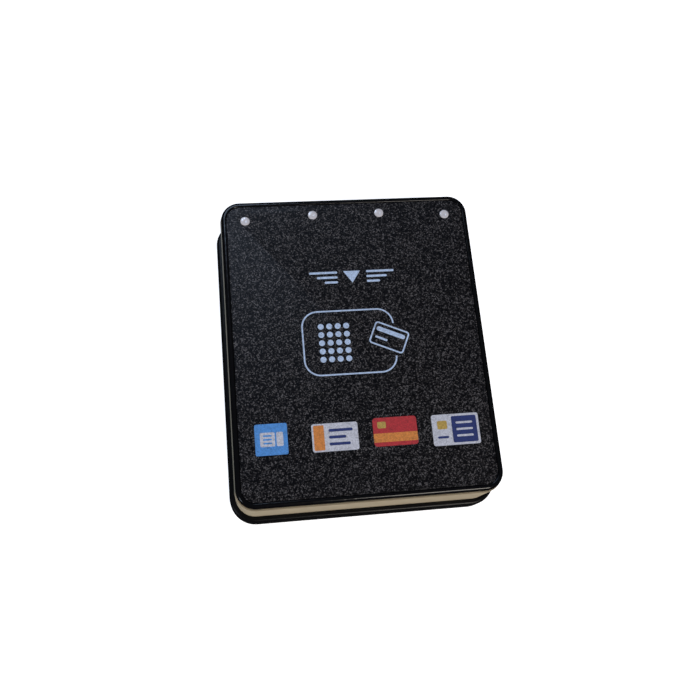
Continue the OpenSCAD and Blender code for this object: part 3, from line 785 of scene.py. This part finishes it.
class READER_OT_prints(ReaderOperator, bpy.types.Operator):
    """Prints a plain pointer, a card over a field of dots and a row of four plain pictures"""
    bl_idname = "reader.make_prints"
    bl_label = "Prints"

    def make(self):
        s = settings("prints")
        inks = {name: InkPlate("print_" + name, getattr(s, name))
                for name in INKS}
        self.pointer(s, inks["white"])
        self.card_field(s, inks["white"])
        self.ticket_picture(s, inks)
        self.day_pass_picture(s, inks)
        self.striped_picture(s, inks)
        self.chip_picture(s, inks)
        for ink in inks.values():
            ink.printed()

    def pointer(self, s, white):
        """A solid triangle that points down at the card, between stacks of short lines."""
        half, drop, thick = 2.3 * MM, 3.4 * MM, 0.62 * MM
        white.shape([(-half, drop / 2), (0, -drop / 2), (half, drop / 2)], (0, s.guide_y))
        for side in (-1, 1):
            for row, length in enumerate((7.6 * MM, 5.6 * MM, 3.6 * MM)):
                at = (side * (3.9 * MM + length / 2), s.guide_y + (1 - row) * 1.4 * MM)
                white.bar(length, thick, at)

    def card_field(self, s, white):
        """A plain frame round a field of dots, with a tilted payment card over its right side."""
        centre = (s.ring_x, 0)
        card, turn, size = (8.3 * MM, 0.6 * MM), -24, (9.6 * MM, 6.4 * MM)
        clear = 0.8 * MM
        white.open_frame(s.ring_width, s.ring_height, s.ring_corner, s.line, centre,
                         (card, turn, size[0] / 2 + clear, size[1] / 2 + clear))
        pitch = 2.25 * MM
        for column in range(4):
            for row in range(-2, 3):
                at = (s.ring_x - 7.2 * MM + column * pitch, row * pitch)
                white.shape(circle(0.8 * MM, 20), at)
        white.frame(*size, 0.9 * MM, s.line, card, turn)
        across = Vector((math.cos(math.radians(turn)), math.sin(math.radians(turn))))
        up = Vector((-across.y, across.x))
        stripe = Vector(card) + up * 1.35 * MM
        white.bar(7.9 * MM, 1.2 * MM, stripe, turn)
        white.bar(3.4 * MM, 0.6 * MM, Vector(card) - across * 1.9 * MM - up * 1.0 * MM, turn)

    def ticket_picture(self, s, inks):
        """A ticket with a torn-off stub, on a blue tile."""
        at = (-24.4 * MM, s.cards_y + 0.3 * MM)
        inks["blue"].tile(8.2 * MM, 8.0 * MM, 0.5 * MM, at)
        for x, width in ((-0.95 * MM, 3.7 * MM), (2.15 * MM, 1.7 * MM)):
            inks["paper"].tile(width, 3.6 * MM, 0.35 * MM, (at[0] + x, at[1]), 0, 1)
        for row in (-1, 0, 1):
            inks["blue"].bar(2.2 * MM, 0.42 * MM, (at[0] - 0.95 * MM, at[1] + row * 0.95 * MM), 0, 2)

    def day_pass_picture(self, s, inks):
        """A white pass with an orange band down its left side and dark lines beside it."""
        at = (-8.3 * MM, s.cards_y - 0.2 * MM)
        inks["paper"].tile(11.8 * MM, 7.2 * MM, 0.6 * MM, at)
        inks["orange"].tile(2.7 * MM, 6.4 * MM, 0.3 * MM, (at[0] - 4.1 * MM, at[1]), 0, 1)
        for row, length in enumerate((6.2 * MM, 4.4 * MM, 5.4 * MM)):
            place = (at[0] - 1.6 * MM + length / 2, at[1] + (1 - row) * 1.75 * MM)
            inks["navy"].bar(length, 0.75 * MM, place, 0, 1)

    def striped_picture(self, s, inks):
        """A red card with an orange stripe across it and a small gold contact."""
        at = (7.2 * MM, s.cards_y + 0.2 * MM)
        inks["red"].tile(11.4 * MM, 7.4 * MM, 0.8 * MM, at)
        inks["orange"].tile(11.4 * MM, 2.3 * MM, 0.2 * MM, (at[0], at[1] - 1.5 * MM), 0, 1)
        inks["gold"].tile(2.2 * MM, 1.7 * MM, 0.3 * MM, (at[0] - 3.4 * MM, at[1] + 1.8 * MM), 0, 1)

    def chip_picture(self, s, inks):
        """A pale card with a dark block on its right and a gold contact on its left."""
        at = (23.0 * MM, s.cards_y - 0.4 * MM)
        inks["paper"].tile(12.4 * MM, 8.1 * MM, 0.6 * MM, at)
        inks["navy"].tile(6.6 * MM, 6.9 * MM, 0.4 * MM, (at[0] + 2.3 * MM, at[1]), 0, 1)
        inks["gold"].tile(2.6 * MM, 2.2 * MM, 0.4 * MM, (at[0] - 3.5 * MM, at[1] + 1.3 * MM), 0, 1)
        inks["navy"].bar(2.9 * MM, 0.6 * MM, (at[0] - 3.5 * MM, at[1] - 1.9 * MM), 0, 1)
        for row in (-1, 0, 1):
            inks["paper"].bar(4.4 * MM, 0.55 * MM, (at[0] + 2.3 * MM, at[1] + row * 1.7 * MM), 0, 2)


class READER_OT_lights(ReaderOperator, bpy.types.Operator):
    """Makes the four clear light pipes and finishes the lamps under them"""
    bl_idname = "reader.make_lights"
    bl_label = "Light pipes and lamps"

    def make(self):
        s, fix = settings("front"), settings("fixings")
        clear = clear_finish()
        resin = stone_like("lamp_resin", (0.75, 0.68, 0.3), (0.95, 0.92, 0.75), 0.3)
        radius = pipe_radius()
        for i, at in enumerate(lamp_places(), 1):
            low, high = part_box(f"light_pipe_{i}")
            rise = high.z - FACE_Z
            dome = [(radius * math.cos(math.radians(t)), FACE_Z + rise * math.sin(math.radians(t)))
                    for t in range(0, 70, 7)]
            collar = radius + fix.pipe_collar
            ledge = low.z + fix.collar_height
            profile = [(collar - 0.1 * MM, low.z), (collar, low.z + 0.1 * MM), (collar, ledge),
                       (radius, ledge), *dome,
                       (s.lens_dimple, high.z - 0.01 * MM), (s.lens_dimple * 0.8, high.z - 0.06 * MM)]
            bm = bmesh.new()
            lathe(bm, at, profile, 56)
            piece = new_piece(f"lens_{i}", bm, clear, 40)
            stand_for(piece, "clear_plastic", f"light_pipe_{i}")
            finish_node(f"lamp_{i}", resin)


class READER_OT_shell(ReaderOperator, bpy.types.Operator):
    """Finishes the pale frame, the rear housing, the seals and the rear label"""
    bl_idname = "reader.make_shell"
    bl_label = "Shell"

    def make(self):
        s = settings("shell")
        finish_node("mid_frame", moulded("pale_plastic", s.pale, 0.5, shade=0.05))
        finish_node("rear_housing", moulded("housing_black", s.black, 0.26, shine=0.12))
        rubber = moulded("seal_rubber", s.rubber, 0.8)
        for node in ("front_seal", "rear_seal"):
            finish_node(node, rubber)
        finish_node("rear_label", film_finish("label_film", s.label, 0.4))


class READER_OT_fixings(ReaderOperator, bpy.types.Operator):
    """Makes the case screws, the board screws and the knurled mounting inserts"""
    bl_idname = "reader.make_fixings"
    bl_label = "Screws and inserts"

    def make(self):
        s, fix = settings("shell"), settings("fixings")
        steel = metal("screw_steel", s.steel, 0.34)
        self.screws("case_screws", steel, 1)
        self.screws("board_screws", steel, -1)
        brass = metal("insert_brass", s.brass, 0.3)
        self.inserts(brass, s, fix)

    def screws(self, node, steel, up):
        """Pan-head screws with a cross recess: up is -1 where the head is on top."""
        low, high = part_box(node)
        fix = settings("fixings")
        across, along = (fix.case_across, fix.case_along) if up > 0 else (fix.board_across, fix.board_along)
        head = (high.x - low.x - across) / 2
        thread = head / 1.9
        head_height = thread * 2 * 0.6
        length = high.z - low.z - head_height
        tip, pitch = head_height + length, 0.45 * MM
        crown, neck, root = head_height * 0.55, thread * 0.86, thread * 0.82
        slopes = [math.radians(t) for t in range(40, 90, 10)]
        profile = [(head * 0.45, 0), *[(head * math.sin(a), crown * (1 - math.cos(a))) for a in slopes],
                   (head, head_height * 0.6), (head * 0.97, head_height),
                   (neck, head_height), (neck, head_height + 0.2 * MM)]
        for i in range(int((length - 0.8 * MM) / pitch)):
            z = head_height + 0.25 * MM + i * pitch
            profile += [(root, z), (thread, z + pitch * 0.4), (root, z + pitch * 0.8)]
        profile += [(thread * 0.7, tip - 0.3 * MM), (thread * 0.3, tip)]
        bm = bmesh.new()
        lathe(bm, (0, 0), profile, 32)
        pattern = new_piece("pattern", bm, steel)

        def slot(tool, turn):
            """One arm of the cross recess, narrower at its foot."""
            arm, wide, deep = head * 0.62, head * 0.17, head_height * 0.8
            turned = [Matrix.Rotation(math.radians(turn), 2) @ Vector(p) for p in (
                (-arm, -wide), (arm, -wide), (arm, wide), (-arm, wide))]
            depths = ((1, -0.1 * MM), (1, 0), (0.45, deep))
            loft(tool, [[(p.x * k, p.y * k, z) for p in turned] for k, z in depths])

        for turn in (0, 90):
            carve(pattern, "DIFFERENCE", solid(slot, turn))
        if up < 0:
            pattern.data.transform(Matrix.Diagonal((1, -1, -1, 1)))
        base = low.z if up > 0 else high.z
        name = node.replace("_screws", "_screw_set")
        piece = four_times(name, pattern, (0, 0, base), (across, along), steel)
        stand_for(piece, "screw_steel", node)

    def inserts(self, brass, s, fix):
        """Knurled inserts: two bands of slanted teeth, a waist and a threaded bore."""
        low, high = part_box("mounting_inserts")
        radius = (high.x - low.x - fix.insert_across) / 2
        bore, height = fix.insert_bore / 2, high.z - low.z
        count = s.knurls * 2
        groove = 0.18 * MM

        def toothed(z, twist):
            points = []
            for i in range(count):
                a = math.tau * (i + twist) / count
                r = radius if i % 2 else radius - groove
                points.append((r * math.cos(a), r * math.sin(a), z))
            return points

        def plain(r, z):
            return [(x, y, z) for x, y in circle(r, count)]

        waist = radius - 2 * groove
        third, edge, slant = height / 3, 0.1 * MM, 1.5
        loops = [plain(waist, 0), plain(radius - groove, 0.15 * MM),
                 toothed(0.25 * MM, 0), toothed(third, slant),
                 plain(waist, third + edge), plain(waist, 2 * third - edge),
                 toothed(2 * third, 0), toothed(height - 0.3 * MM, -slant), plain(waist, height)]
        pitch = 0.5 * MM
        turns = int(height / pitch)
        inner = [plain(bore + 0.25 * MM, height)]
        for i in range(turns, 0, -1):
            z = height * i / (turns + 1)
            inner += [plain(bore, z + pitch * 0.25), plain(bore + 0.2 * MM, z - pitch * 0.15)]
        inner += [plain(bore + 0.25 * MM, 0)]
        bm = bmesh.new()
        loft(bm, loops + inner, closed=True)
        pattern = new_piece("pattern", bm, brass)
        piece = four_times("insert_set", pattern, (0, 0, low.z), (fix.insert_across, fix.insert_along), brass)
        stand_for(piece, "brass", "mounting_inserts")


class READER_OT_boards(ReaderOperator, bpy.types.Operator):
    """Finishes both boards, the antenna coil, the ferrite sheet and everything soldered to the boards"""
    bl_idname = "reader.make_boards"
    bl_label = "Boards"

    def make(self):
        s = settings("inside")
        green = board_finish()
        tin = metal("shield_tin", (0.60, 0.61, 0.63), 0.3)
        black = moulded("chip_resin", (0.022, 0.022, 0.024), 0.55)
        ferrite = stone_like("ferrite_grey", (0.035, 0.035, 0.04), (0.085, 0.085, 0.095), 0.6)
        fired = stone_like("capacitor_tan", (0.36, 0.23, 0.11), (0.58, 0.42, 0.24), 0.45)
        finishes = {
            green: ("antenna_board", "main_board"),
            metal("antenna_copper", s.copper, 0.32, (0.05, 1, 1)): ("antenna_coil",),
            ferrite: ("ferrite_sheet", "filter_inductors", "power_inductor"),
            fired: ("tuning_capacitors", "power_capacitors"),
            tin: ("shield_frame", "shield_lid", "clock_crystal", "cell_holder"),
            black: ("reader_chip", "processor_chip", "memory_chip", "buzzer"),
            metal("cell_nickel", (0.66, 0.67, 0.68), 0.22): ("backup_cell",),
        }
        for material, nodes in finishes.items():
            for node in nodes:
                finish_node(node, material)


class READER_OT_sockets(ReaderOperator, bpy.types.Operator):
    """Finishes the host connector, the flat cable and its sockets, and the tamper switches"""
    bl_idname = "reader.make_sockets"
    bl_label = "Connectors and switches"

    def make(self):
        s = settings("inside")
        nylon = moulded("nylon_natural", s.nylon, 0.45)
        lock = moulded("lock_brown", s.lock, 0.5)
        body = moulded("switch_black", (0.025, 0.025, 0.028), 0.5)
        red = moulded("plunger_red", s.plunger, 0.45)
        finishes = {
            nylon: ("host_connector", "main_flex_socket", "antenna_flex_socket"),
            lock: ("main_flex_lock", "antenna_flex_lock"),
            body: ("tamper_switch_left", "tamper_switch_right"),
            red: ("tamper_plunger_left", "tamper_plunger_right"),
            metal("pin_gold", settings("shell").brass, 0.25): ("host_pins_block",),
            film_finish("flex_film", (0.66, 0.68, 0.72), 0.35): ("flex_cable",),
        }
        for material, nodes in finishes.items():
            for node in nodes:
                finish_node(node, material)


class READER_OT_stage(ReaderOperator, bpy.types.Operator):
    """Makes the paper floor, the soft lights and the camera"""
    bl_idname = "reader.make_stage"
    bl_label = "Stage"

    def make(self):
        s = settings("view")
        self.make_floor(s)
        self.make_lights()
        self.make_camera(s)

    def make_floor(self, s):
        bm = bmesh.new()
        reach = 3.0
        bmesh.ops.create_grid(bm, x_segments=1, y_segments=1, size=reach)
        floor = new_piece("paper_floor", bm, floor_finish(s.floor, s.glow))
        floor.data.transform(Matrix.Translation((0, 0, HOUSING_LOW.z - 0.02 * MM)))
        floor.visible_glossy = False

    def make_lights(self):
        world = bpy.data.worlds.new("studio")
        world.use_nodes = True
        tree = world.node_tree
        place = tree.nodes.new("ShaderNodeTexCoord")
        height = tree.nodes.new("ShaderNodeSeparateXYZ")
        sky = tree.nodes.new("ShaderNodeValToRGB")
        sky.color_ramp.elements[0].color = (0.01, 0.01, 0.011, 1)
        sky.color_ramp.elements[1].color = (0.085, 0.09, 0.11, 1)
        sky.color_ramp.elements[1].position = 0.5
        tree.links.new(place.outputs["Generated"], height.inputs[0])
        tree.links.new(height.outputs["Z"], sky.inputs["Fac"])
        tree.links.new(sky.outputs["Color"], tree.nodes["Background"].inputs["Color"])
        bpy.context.scene.world = world
        self.softbox("window", (-0.20, 0.74, 1.00), 0.45, 5.5, (0.60, 0.75, 1.0))
        self.softbox("side", (-0.85, -0.45, 0.50), 0.2, 2.0, (0.80, 0.88, 1.0))
        self.softbox("front", (0.35, -0.85, 0.80), 0.4, 8.0, (1.0, 0.93, 0.85))

    def softbox(self, name, place, size, power, colour):
        data = bpy.data.lights.new(name, "AREA")
        data.size = size
        data.energy = power
        data.color = colour
        light = bpy.data.objects.new(name, data)
        light.location = place
        aim = Vector((0, 0, FACE_Z)) - Vector(place)
        light.rotation_euler = aim.to_track_quat("-Z", "Y").to_euler()
        bpy.context.collection.objects.link(light)

    def make_camera(self, s):
        data = bpy.data.cameras.new("camera")
        data.sensor_width = 36
        data.lens = s.lens
        data.clip_start = 5 * MM
        camera = bpy.data.objects.new("camera", data)
        bpy.context.collection.objects.link(camera)
        back = Vector((
            math.sin(s.azimuth) * math.cos(s.elevation),
            -math.cos(s.azimuth) * math.cos(s.elevation),
            math.sin(s.elevation)))
        camera.rotation_mode = "QUATERNION"
        level = (-back).to_track_quat("-Z", "Y").to_matrix()
        camera.rotation_quaternion = (level @ Matrix.Rotation(s.roll, 3, "Z")).to_quaternion()
        camera.location = Vector((s.aim_x, s.aim_y, FACE_Z)) + back * s.distance
        bpy.context.scene.camera = camera
        bpy.context.scene.view_settings.view_transform = "Standard"


STEPS = (READER_OT_stage, READER_OT_front, READER_OT_prints, READER_OT_lights, READER_OT_shell,
         READER_OT_fixings, READER_OT_boards, READER_OT_sockets)


class READER_PT_panel(bpy.types.Panel):
    bl_idname = "READER_PT_panel"
    bl_label = "Card reader module"
    bl_space_type = "VIEW_3D"
    bl_region_type = "UI"
    bl_category = "Card Reader"

    def draw(self, context):
        for step in STEPS:
            self.layout.operator(step.bl_idname)


def register():
    for group in SETTINGS:
        bpy.utils.register_class(group)
        setattr(bpy.types.Scene, setting_name(group), bpy.props.PointerProperty(type=group))
    for made in (*STEPS, READER_PT_panel):
        bpy.utils.register_class(made)


def unregister():
    for made in reversed((*STEPS, READER_PT_panel)):
        bpy.utils.unregister_class(made)
    for group in reversed(SETTINGS):
        delattr(bpy.types.Scene, setting_name(group))
        bpy.utils.unregister_class(group)


def main():
    register()
    for step in STEPS:
        group, name = step.bl_idname.split(".")
        getattr(getattr(bpy.ops, group), name)()


if __name__ == "__main__":
    main()
